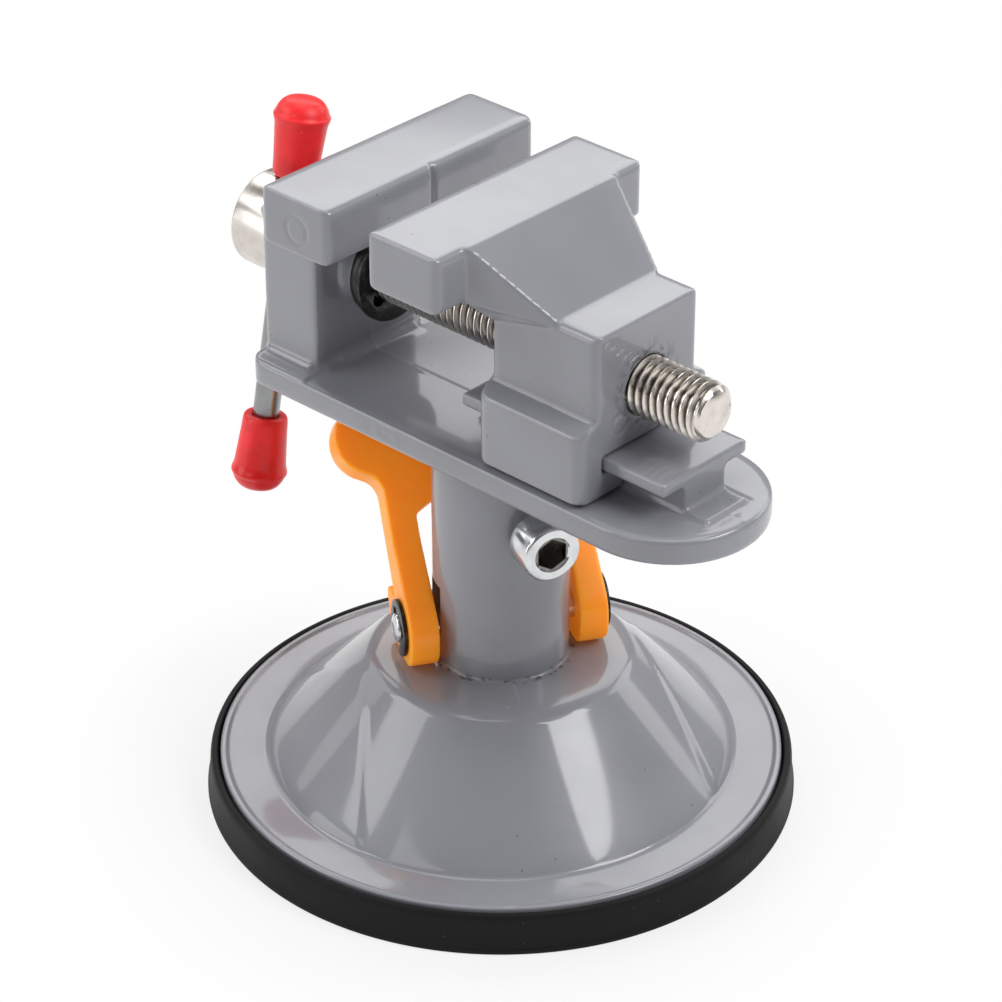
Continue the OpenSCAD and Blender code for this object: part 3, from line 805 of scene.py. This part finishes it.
class VISE_OT_suction_cup(Operator):
    """Turns the rubber cup, whose middle rises with the stud"""

    bl_idname = "vise.suction_cup"
    bl_label = "Suction Cup"

    def execute(self, context):
        bm = bmesh.new()
        web = [(r * MM, 3 * MM) for r in (6, 12, 18, 20, 22, 24, 26, 28, 30)]
        under = [(r * MM, 0) for r in (39, 36, 33, 30, 28, 26, 24, 22, 20, 18, 12, 6, 0)]
        turned(bm, [mm(0, 3)] + web + [
            mm(32.3, 3, 1), mm(36.3, 4.8, 1), mm(48.75, 4.8, 0.3),
            mm(48.75, 7, 0.3), mm(49.05, 7.4, 0.2), mm(49.8, 7.4, 0.4),
            mm(50.25, 6.6, 0.5), mm(50.45, 2.6), mm(50.8, 0.9, 0.3),
            mm(50.8, 0, 0.35), mm(43, 0), mm(43, 0.6), mm(41.8, 0.6), mm(41.8, 0),
        ] + under, steps=224, segments=4)
        cup = add_object("suction_cup_rubber", bm)

        def sway(co, normal):
            """Slight unevenness of the soft rim, kept inside the solid."""
            angle = atan2(co.y, co.x)
            radius = hypot(co.x, co.y)
            if radius < 49.3 * MM or co.z < 1 * MM:
                return None
            amount = 0.05 * MM * (sin(3 * angle + 0.6) + 0.6 * sin(7 * angle + 2)) - 0.06 * MM
            return Vector((cos(angle), sin(angle), 0)) * min(amount, 0)

        mould(cup, sway)
        cup.data.materials.append(rubber_finish())
        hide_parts("suction_cup")
        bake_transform(cup, "base", "plunger", start=(0.036, 0, 0), end=(0.018, 0, 0))
        weights = cup.data.attributes["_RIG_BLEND"]
        for vertex, weight in zip(cup.data.vertices, weights.data):
            weight.value = 1 - ramp(hypot(vertex.co.x, vertex.co.y), 18.5 * MM, 33 * MM)
        return {"FINISHED"}


class VISE_OT_plunger(Operator):
    """Finishes the hidden plate and stud that lift the cup"""

    bl_idname = "vise.plunger"
    bl_label = "Plate and Stud"

    def execute(self, context):
        finish = pressed_finish()
        for name in ("cup_plate", "pull_stud"):
            paint_node(name, finish)
        return {"FINISHED"}


class VISE_OT_lever(Operator):
    """Skins the fork lever, with the soft edges of a moulding"""

    bl_idname = "vise.lever"
    bl_label = "Lever"

    def execute(self, context):
        lever = skinned("lever", "lever_moulding", 0.3 * MM, 8)
        settle(lever, "lever", "orange_plastic", orange_finish(), "lever")
        return {"FINISHED"}


class VISE_OT_lever_pin(Operator):
    """Turns the lever's pin and stamps the clips on its ends"""

    bl_idname = "vise.lever_pin"
    bl_label = "Lever Pin and Clips"

    def execute(self, context):
        props = context.scene.vise.finish
        half = 18.8 * MM
        radius = 2.5 * MM
        neck = 2 * MM
        bm = bmesh.new()
        near = 17.2 * MM
        far = 18 * MM
        turned(bm, [
            (0, -half + 0.15 * MM), (1.5 * MM, -half, 0.4 * MM), (radius, -half + 0.45 * MM, 0.35 * MM), (radius, -far),
            (neck, -far), (neck, -near), (radius, -near), (radius, near), (neck, near), (neck, far), (radius, far),
            (radius, half - 0.45 * MM, 0.35 * MM), (1.5 * MM, half, 0.4 * MM), (0, half - 0.15 * MM),
        ], frame_on(PIN_CENTRE, PIN_WAY), steps=48)
        pin = add_object("lever_pin_steel", bm)
        finish = plated_finish("zinc_pin", props.zinc, PIN_CENTRE, PIN_WAY, rough=(0.16, 0.34))
        settle(pin, "plunger", "zinc_steel", finish, "lever_pin")
        for name in ("pin_clip_near", "pin_clip_far"):
            clip = bevelled(name, name + "_stamped", 0.12 * MM)
            settle(clip, "plunger", "black_steel", black_finish(), name)
        return {"FINISHED"}


def bevelled(name, new_name, width, segments=2):
    """A copy of a solid with its sharp edges broken."""
    obj = solid_copy(name, new_name)
    bm = bmesh.new()
    bm.from_mesh(obj.data)
    bmesh.ops.dissolve_limit(
        bm, angle_limit=radians(1), use_dissolve_boundaries=False, verts=bm.verts, edges=bm.edges, delimit=set()
    )
    sharp = [e for e in bm.edges if len(e.link_faces) == 2 and e.calc_face_angle(0) > radians(40)]
    bmesh.ops.bevel(
        bm, geom=sharp, offset=width, offset_type="OFFSET", segments=segments, profile=0.5, affect="EDGES",
        clamp_overlap=True, material=-1,
    )
    bmesh.ops.recalc_face_normals(bm, faces=bm.faces)
    bm.to_mesh(obj.data)
    bm.free()
    for polygon in obj.data.polygons:
        polygon.use_smooth = True
    obj.data.set_sharp_from_angle(angle=radians(32))
    return obj


class VISE_OT_vise_body(Operator):
    """Skins the plate, column and fixed jaw, with the marks that casting leaves"""

    bl_idname = "vise.vise_body"
    bl_label = "Vise Body"

    def execute(self, context):
        props = context.scene.vise.casting
        body = skinned("vise_body", "vise_body_cast", props.cell, props.soften)

        def marks(co, normal):
            shift = Vector((0, 0, 0))
            if abs(co.x - FIXED_FACE) < 1.2 * MM and co.z > JAW_TOP - 11 * MM:
                shift.x -= props.face_groove * dent(co.y, 0.75 * MM)
            if normal.y < -0.8 and co.z > JAW_TOP - 10 * MM and abs(co.y) > 22 * MM:
                ring = hypot(co.x + 22 * MM, co.z - 107 * MM) - 2.3 * MM
                shift.y += props.pin_mark * dent(ring, 0.5 * MM)
            ridge = props.parting_ridge * dent(co.y, 0.35 * MM)
            if PLATE_LOW + 3 * MM < co.z < PLATE_TOP + 0.5 * MM and co.x > -30 * MM:
                shift.z += (ridge - props.draft * abs(co.y)) * ramp(normal.z, 0.5, 0.95)
            if -31.5 * MM < co.x < -28 * MM and PLATE_TOP < co.z < JAW_TOP - 10 * MM:
                shift.x += (ridge - props.draft * abs(co.y)) * ramp(normal.x, 0.5, 0.95)
            if normal.y < -0.7 and PLATE_LOW < co.z < PLATE_TOP:
                across = (co.x + 10.35 * MM) / 2.2
                up = co.z - (PLATE_LOW + PLATE_TOP) / 2
                ring = hypot(across, up) - 1.1 * MM
                shift.y -= 0.1 * MM * dent(ring, 0.5 * MM)
            return shift

        mould(body, marks)
        settle(body, "head", "grey_casting", paint_finish(), "vise_body")
        return {"FINISHED"}


class VISE_OT_movable_jaw(Operator):
    """Skins the moving jaw"""

    bl_idname = "vise.movable_jaw"
    bl_label = "Movable Jaw"

    def execute(self, context):
        props = context.scene.vise.casting
        jaw = skinned("movable_jaw", "movable_jaw_cast", props.cell * 0.9, props.soften)

        def marks(co, normal):
            shift = Vector((0, 0, 0))
            if abs(co.x - MOVING_FACE) < 1.2 * MM and co.z > JAW_TOP - 11 * MM:
                shift.x += props.face_groove * dent(co.y, 0.75 * MM)
            if normal.x > 0.8 and co.x > BLOCK_FRONT - 1 * MM:
                ring = hypot(co.y + 6.4 * MM, co.z - 85.3 * MM) - 1.7 * MM
                shift.x -= props.pin_mark * dent(ring, 0.5 * MM)
            return shift

        mould(jaw, marks)
        settle(jaw, "jaw", "grey_casting", paint_finish(), "movable_jaw")
        return {"FINISHED"}


class VISE_OT_clamp_screw(Operator):
    """Builds the socket-head screw that clamps the swivel"""

    bl_idname = "vise.clamp_screw"
    bl_label = "Clamp Screw"

    def execute(self, context):
        props = context.scene.vise
        place = frame_on(Vector((0, 0, CLAMP_Z)), CLAMP_WAY)
        under = 13.3 * MM
        end = 19.3 * MM
        head_r = 5 * MM
        bm = bmesh.new()
        turned(bm, [
            (0, under), (head_r, under, 0.25 * MM), (head_r, end, 0.6 * MM), (3.2 * MM, end),
            (2.9 * MM, end - 0.3 * MM), (0, end - 0.3 * MM),
        ], place, steps=96)
        head = add_object("clamp_head_blank", bm)
        hexagon = bmesh.new()
        bmesh.ops.create_cone(
            hexagon, cap_ends=True, cap_tris=False, segments=6, radius1=2.887 * MM, radius2=2.887 * MM, depth=7 * MM,
            matrix=place @ Matrix.Translation((0, 0, end)) @ Matrix.Rotation(radians(8), 4, "Z"),
        )
        socket = add_object("socket_cut", hexagon, 0)
        cut(head, [socket])
        bm = bmesh.new()
        bm.from_mesh(head.data)
        bpy.data.objects.remove(head)
        tip = 7.3 * MM

        def limit(z):
            return min(3 * MM, 2.2 * MM + max(z - tip, 0))

        new = threaded(bm, props.screw.clamp_pitch, 0.6 * MM, 3 * MM, tip, under + 0.2 * MM, 32, limit)
        bmesh.ops.transform(bm, matrix=place, verts=new)
        screw = add_object("clamp_screw_socket", bm)
        # Its finish paints shade into the hex socket and the roots of the thread.
        finish = plated_finish(
            "zinc_clamp_screw", props.finish.zinc, Vector((0, 0, CLAMP_Z)), CLAMP_WAY,
            recess_shade=(2.86 * MM, 2.92 * MM, end - 0.1 * MM), rough=(0.12, 0.3), rings=5000.0,
        )
        settle(screw, "clamp", "zinc_steel", finish, "clamp_screw")
        return {"FINISHED"}


class VISE_OT_lead_screw(Operator):
    """Winds the lead screw's thread and stamps its washer and clip"""

    bl_idname = "vise.lead_screw"
    bl_label = "Lead Screw"

    def execute(self, context):
        props = context.scene.vise
        bm = bmesh.new()
        place = frame_on(SCREW_AXIS, X_AXIS)
        shank = COLUMN_BACK - 0.3 * MM
        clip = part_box("screw_clip")
        thread_start = clip[1].x + 0.2 * MM
        radius = 5 * MM
        root = radius - props.screw.depth

        def limit(z):
            return min(radius, 3.75 * MM + max(SCREW_TIP - z, 0) * 1.15, root + max(z - thread_start, 0) * 0.9)

        new = threaded(
            bm, props.screw.pitch, props.screw.depth, radius, thread_start, SCREW_TIP, props.screw.steps, limit
        )
        new += turned(bm, [
            (0, shank - 2.7 * MM), (4 * MM, shank - 2.7 * MM), (4 * MM, shank), (5 * MM, shank),
            (5 * MM, clip[0].x - 0.05 * MM), (4 * MM, clip[0].x - 0.05 * MM), (4 * MM, clip[1].x + 0.05 * MM),
            (4.95 * MM, clip[1].x + 0.05 * MM, 0.2 * MM), (4.1 * MM, clip[1].x + 1.1 * MM), (0, clip[1].x + 1.1 * MM),
        ], steps=64)
        bmesh.ops.transform(bm, matrix=place, verts=new)
        screw = add_object("lead_screw_thread", bm, 50)
        # Its finish paints shade into the roots of the thread.
        finish = plated_finish(
            "nickel_thread", props.finish.nickel, SCREW_AXIS, X_AXIS,
            recess_shade=(4.25 * MM, 4.85 * MM, SCREW_TIP - 1 * MM), rough=(0.2, 0.36),
        )
        settle(screw, "screw", "nickel_steel", finish, "lead_screw")
        for name in ("thrust_washer", "screw_clip"):
            ring = bevelled(name, name + "_stamped", 0.2 * MM)
            settle(ring, "screw", "black_steel", black_finish(), name)
        return {"FINISHED"}


class VISE_OT_screw_head(Operator):
    """Turns the lead screw's head and bores it for the cross bar"""

    bl_idname = "vise.screw_head"
    bl_label = "Screw Head"

    def execute(self, context):
        props = context.scene.vise.finish
        bm = bmesh.new()
        radius = 8.5 * MM
        turned(bm, [
            (0, KNOB_BACK + 1.1 * MM), (1.3 * MM, KNOB_BACK), (radius, KNOB_BACK, 0.55 * MM),
            (radius, KNOB_FRONT, 0.5 * MM),
            (4.01 * MM, KNOB_FRONT), (4.01 * MM, KNOB_FRONT - 2.8 * MM), (0, KNOB_FRONT - 2.8 * MM),
        ], frame_on(SCREW_AXIS, X_AXIS), steps=128)
        head = add_object("screw_head_turned", bm)
        hole = bmesh.new()
        rod(hole, 2.4 * MM, -12 * MM, 12 * MM, BAR_WAY, BAR_CENTRE, 48)
        cut(head, [add_object("bar_cut", hole, 0)])
        bevel = head.modifiers.new("Break edges", "BEVEL")
        bevel.limit_method = "ANGLE"
        bevel.angle_limit = radians(50)
        bevel.width = 0.2 * MM
        bevel.segments = 2
        apply_modifiers(head)
        finish = plated_finish(
            "nickel_head", Vector(props.nickel) * 0.88, SCREW_AXIS, X_AXIS, rough=(0.24, 0.32), rings=4200.0
        )
        settle(head, "screw", "nickel_steel", finish, "screw_head")
        return {"FINISHED"}


class VISE_OT_cross_bar(Operator):
    """Turns the cross bar and dips its two caps"""

    bl_idname = "vise.cross_bar"
    bl_label = "Cross Bar and Caps"

    def execute(self, context):
        props = context.scene.vise.finish
        place = frame_on(BAR_CENTRE, BAR_WAY)
        bm = bmesh.new()
        turned(bm, [
            (0, 2.2 * MM - BAR_DOWN), (2.3 * MM, 2.2 * MM - BAR_DOWN, 0.4 * MM), mm(2.3, -20),
            mm(2.3, -9), (2.3 * MM, BAR_UP - 2.2 * MM, 0.4 * MM), (0, BAR_UP - 2.2 * MM),
        ], place, steps=48)
        bar = add_object("cross_bar_steel", bm)
        finish = plated_finish(
            "zinc_bar", Vector(props.zinc) * 0.42, BAR_CENTRE, BAR_WAY, rough=(0.18, 0.34), rings=2600.0
        )
        settle(bar, "bar", "zinc_steel", finish, "tommy_bar")
        vinyl = vinyl_finish()
        upper = place @ Matrix.Translation((0, 0, BAR_UP - CAP_LENGTH))
        lower = place @ Matrix.Translation((0, 0, CAP_LENGTH - BAR_DOWN)) @ Matrix.Rotation(pi, 4, "X")
        for name, matrix, phase in (("bar_cap_upper", upper, 0.4), ("bar_cap_lower", lower, 2.1)):
            bm = bmesh.new()
            turned(bm, closed([
                mm(2.35, 0.2, 0.1), mm(2.6, 0), mm(3.7, 0, 0.5),
                mm(3.92, 0.9, 0.3), mm(4.08, 3), mm(4.34, 6),
                mm(4.62, 9.4, 0.6), mm(4.97, 10.3, 0.25),
                mm(4.97, 10.75, 0.2), mm(4.6, 11.1, 0.3), mm(4.1, 12.6, 1),
                mm(2.7, 13.6, 1), mm(0, 13.9), mm(0, 11.7), mm(2.35, 11.7),
            ]), steps=72)
            cap = add_object(name + "_vinyl", bm, 60)

            def squeeze(co, normal):
                radius = hypot(co.x, co.y)
                if radius < 3 * MM or co.z > 11 * MM:
                    return None
                angle = atan2(co.y, co.x)
                dip = 0.05 * MM * (1 + sin(2 * angle + phase)) * ramp(co.z, 0, 5 * MM)
                return Vector((-cos(angle), -sin(angle), 0)) * dip

            mould(cap, squeeze)
            cap.data.transform(matrix)
            settle(cap, "bar", "red_vinyl", vinyl, name)
        return {"FINISHED"}


class VISE_OT_stage(Operator):
    """Sets the camera, the lights, the floor and the white background"""

    bl_idname = "vise.stage"
    bl_label = "Stage"

    looks_at = 55.45 * MM
    lit_at = 60 * MM
    room = 0.16
    # Name, place to the camera's right, towards it and above the bench, width, height and share of the power.
    lamps = (
        ("top", 0.0, -0.15, 1.0, 0.6, 0.6, 0.6),
        ("right", 0.55, 0.25, 0.72, 0.45, 0.35, 0.95),
        ("behind", 0.0, -0.8, 0.75, 1.3, 0.5, 1.2),
        ("left", -0.72, 0.02, 0.62, 0.5, 0.35, 0.47),
        ("left_front", -0.6, 0.65, 0.55, 0.4, 0.4, 0.22),
        ("left_low", -1.0, 0.15, 0.22, 0.5, 0.35, 0.34),
        ("left_behind", -0.75, -0.5, 0.45, 0.5, 0.4, 0.2),
        ("right_behind", 0.75, -0.5, 0.45, 0.5, 0.4, 0.37),
        ("right_front", 0.7, 0.6, 0.45, 0.4, 0.4, 0.1),
    )

    def execute(self, context):
        props = context.scene.vise.stage
        scene = context.scene
        scene.view_settings.view_transform = "Standard"
        target = Vector((0, 0, self.looks_at))
        level = cos(props.elevation)
        back = Vector((sin(props.azimuth) * level, -cos(props.azimuth) * level, sin(props.elevation)))
        camera = bpy.data.objects.new("camera", bpy.data.cameras.new("camera"))
        camera.data.lens = props.lens
        camera.data.clip_start = 0.01
        camera.location = target + back * props.distance
        camera.rotation_euler = (-back).to_track_quat("-Z", "Y").to_euler()
        scene.collection.objects.link(camera)
        scene.camera = camera

        world = bpy.data.worlds.new("studio")
        scene.world = world
        world.use_nodes = True
        tree = world.node_tree
        background = tree.nodes["Background"]
        path = node(tree, "ShaderNodeLightPath")
        strength = remap(tree, path.outputs["Is Camera Ray"], 0.0, 1.0, self.room, 1.0)
        tree.links.new(strength, background.inputs["Strength"])
        background.inputs["Color"].default_value = (1, 1, 1, 1)

        bm = bmesh.new()
        bmesh.ops.create_grid(bm, x_segments=2, y_segments=2, size=6)
        floor = add_object("floor", bm, 0)
        floor.data.materials.append(self.floor_finish())

        turn = Matrix.Rotation(props.azimuth, 4, "Z")
        for name, right, near, high, wide, tall, part in self.lamps:
            self.lamp(name, turn @ Vector((right, -near, high)), wide, tall, props.light * part)
        return {"FINISHED"}

    def lamp(self, name, place, wide, tall, power):
        data = bpy.data.lights.new(name, "AREA")
        data.shape = "RECTANGLE"
        data.size = wide
        data.size_y = tall
        data.energy = power
        lamp = bpy.data.objects.new(name, data)
        lamp.location = place
        lamp.rotation_euler = (Vector((0, 0, self.lit_at)) - place).to_track_quat("-Z", "Y").to_euler()
        bpy.context.scene.collection.objects.link(lamp)

    @staticmethod
    def floor_finish():
        """A pale floor that is white to the camera away from the shadow, and glows less to other rays."""
        made, tree, shader, place = material("pale_floor")
        shader.inputs["Base Color"].default_value = (0.82, 0.82, 0.82, 1)
        shader.inputs["Roughness"].default_value = 0.9
        shader.inputs["Specular IOR Level"].default_value = 0.0
        apart = node(tree, "ShaderNodeSeparateXYZ")
        tree.links.new(place, apart.inputs[0])
        far = remap(tree, axis_distance(tree, apart), 0.05, 0.09)
        glow = node(tree, "ShaderNodeEmission", Color=(1, 1, 1, 1), Strength=1.0)
        path = node(tree, "ShaderNodeLightPath")
        seen = math(tree, "ADD", path.outputs["Is Camera Ray"], times(tree, path.outputs["Is Glossy Ray"], 0.6))
        seen = math(tree, "ADD", seen, times(tree, path.outputs["Is Diffuse Ray"], 0.3))
        fade = math(tree, "MULTIPLY", seen, remap(tree, far, 0.0, 1.0, 0.75, 1.0), clamp=True)
        mix = node(tree, "ShaderNodeMixShader")
        tree.links.new(fade, mix.inputs[0])
        tree.links.new(shader.outputs[0], mix.inputs[1])
        tree.links.new(glow.outputs[0], mix.inputs[2])
        tree.links.new(mix.outputs[0], tree.nodes["Material Output"].inputs["Surface"])
        return made


class VISE_PT_panel(Panel):
    """Lists the vise's properties and operators"""

    bl_idname = "VISE_PT_panel"
    bl_label = "Suction Base Vise"
    bl_space_type = "VIEW_3D"
    bl_region_type = "UI"
    bl_category = "Vise"

    def draw(self, context):
        layout = self.layout
        layout.use_property_split = True
        props = context.scene.vise
        for title, part in (
            ("Castings", props.casting), ("Screws", props.screw), ("Finishes", props.finish), ("Stage", props.stage)
        ):
            box = layout.box()
            box.label(text=title)
            for key in part.__annotations__:
                box.prop(part, key)
        column = layout.column(align=True)
        for operator in OPERATORS:
            column.operator(operator.bl_idname)


OPERATORS = (
    VISE_OT_stage,
    VISE_OT_base_housing,
    VISE_OT_suction_cup,
    VISE_OT_plunger,
    VISE_OT_lever,
    VISE_OT_lever_pin,
    VISE_OT_vise_body,
    VISE_OT_movable_jaw,
    VISE_OT_clamp_screw,
    VISE_OT_lead_screw,
    VISE_OT_screw_head,
    VISE_OT_cross_bar,
)
CLASSES = (CastingProps, ScrewProps, FinishProps, StageProps, ViseProps, *OPERATORS, VISE_PT_panel)


def register():
    for cls in CLASSES:
        bpy.utils.register_class(cls)
    bpy.types.Scene.vise = PointerProperty(type=ViseProps)


def unregister():
    del bpy.types.Scene.vise
    for cls in reversed(CLASSES):
        bpy.utils.unregister_class(cls)


def main():
    register()
    for operator in OPERATORS:
        call = getattr(bpy.ops.vise, operator.bl_idname.split(".")[1])
        if call() != {"FINISHED"}:
            raise RuntimeError(f"{operator.bl_idname} did not finish")


if __name__ == "__main__":
    main()
